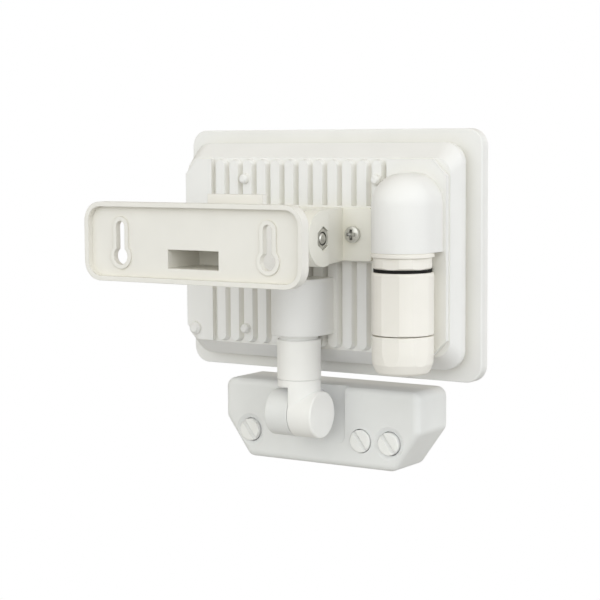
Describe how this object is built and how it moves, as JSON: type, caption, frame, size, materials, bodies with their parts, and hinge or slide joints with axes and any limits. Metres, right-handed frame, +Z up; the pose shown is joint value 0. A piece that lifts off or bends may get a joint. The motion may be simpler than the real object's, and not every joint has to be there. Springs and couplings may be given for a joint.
{
  "type": "motion sensor floodlight",
  "caption": "Wall-mounted LED floodlight on a tilting bracket, with finned cast housing, domed cable turret with gland, and a swivelling infrared motion sensor below.",
  "frame": {"origin": "on the wall, midway between the round ends of the wall plate's two keyholes", "axes": "+Z up, +Y into the wall, so the lamp shines towards -Y; +X along the wall"},
  "size_m": [0.1704, 0.1475, 0.168],
  "materials": {
    "bracket_plastic": "satin moulded plastic",
    "yoke_plastic": "satin moulded plastic",
    "zinc_steel": "bright zinc plate",
    "housing_paint": "white powder coat on die-cast aluminium",
    "frame_paint": "white powder coat on aluminium",
    "frame_screw_steel": "stainless steel",
    "clear_glass": "clear tempered glass",
    "black_rubber": "dull",
    "reflector_plastic": "smooth white",
    "board_white": "aluminium board with white solder mask",
    "led_phosphor": "yellow phosphor",
    "gland_plastic": "satin moulded plastic",
    "terminal_plastic": "satin",
    "neck_plastic": "satin moulded plastic",
    "sensor_plastic": "satin moulded plastic",
    "lens_plastic": "milky polyethylene",
    "pir_can": "metal can",
    "board_green": "circuit board",
    "trimmer_blue": "satin",
    "knob_plastic": "satin moulded plastic"
  },
  "bodies": {
    "mount": {"wall_bracket": "bracket_plastic"},
    "lamp": {"tilt_yoke": "yoke_plastic", "pivot_bolt": "zinc_steel", "pivot_nut": "zinc_steel", "yoke_screws": "zinc_steel", "rear_housing": "housing_paint", "front_frame": "frame_paint", "frame_screws": "frame_screw_steel", "front_glass": "clear_glass", "glass_gasket": "black_rubber", "reflector_tray": "reflector_plastic", "led_board": "board_white", "led_chips": "led_phosphor", "led_screws": "zinc_steel", "gland_collar": "gland_plastic", "gland_gasket": "black_rubber", "gland_body": "gland_plastic", "gland_nut": "gland_plastic", "gland_seal": "black_rubber", "terminal_block": "terminal_plastic"},
    "neck": {"neck_tube": "neck_plastic", "neck_seal": "black_rubber", "neck_knuckle": "neck_plastic", "knuckle_screw": "zinc_steel"},
    "sensor": {"sensor_rear": "sensor_plastic", "sensor_front": "sensor_plastic", "pir_lens": "lens_plastic", "pir_element": "pir_can", "sensor_board": "board_green", "trimmers": "trimmer_blue"},
    "knob_a": {"knob_one": "knob_plastic"},
    "knob_b": {"knob_two": "knob_plastic"},
    "knob_c": {"knob_three": "knob_plastic"}
  },
  "joints": [
    {"name": "head_tilt", "type": "hinge", "parent": "mount", "child": "lamp", "pos_m": [0, -0.0747, 0.0059], "axis": [1, 0, 0], "range_deg": [-45, 45]},
    {"name": "neck_swivel", "type": "hinge", "parent": "lamp", "child": "neck", "pos_m": [0, -0.0896, -0.05], "axis": [0, 0, 1], "range_deg": [-80, 80]},
    {"name": "sensor_tilt", "type": "hinge", "parent": "neck", "child": "sensor", "pos_m": [0, -0.0896, -0.0816], "axis": [1, 0, 0], "range_deg": [-5, 40]},
    {"name": "knob_a_turn", "type": "hinge", "parent": "sensor", "child": "knob_a", "pos_m": [0.0415, -0.107, -0.0962], "axis": [0, 1, 0], "range_deg": [-135, 135]},
    {"name": "knob_b_turn", "type": "hinge", "parent": "sensor", "child": "knob_b", "pos_m": [-0.0247, -0.107, -0.0962], "axis": [0, 1, 0], "range_deg": [-135, 135]},
    {"name": "knob_c_turn", "type": "hinge", "parent": "sensor", "child": "knob_c", "pos_m": [-0.0408, -0.107, -0.0962], "axis": [0, 1, 0], "range_deg": [-135, 135]}
  ]
}
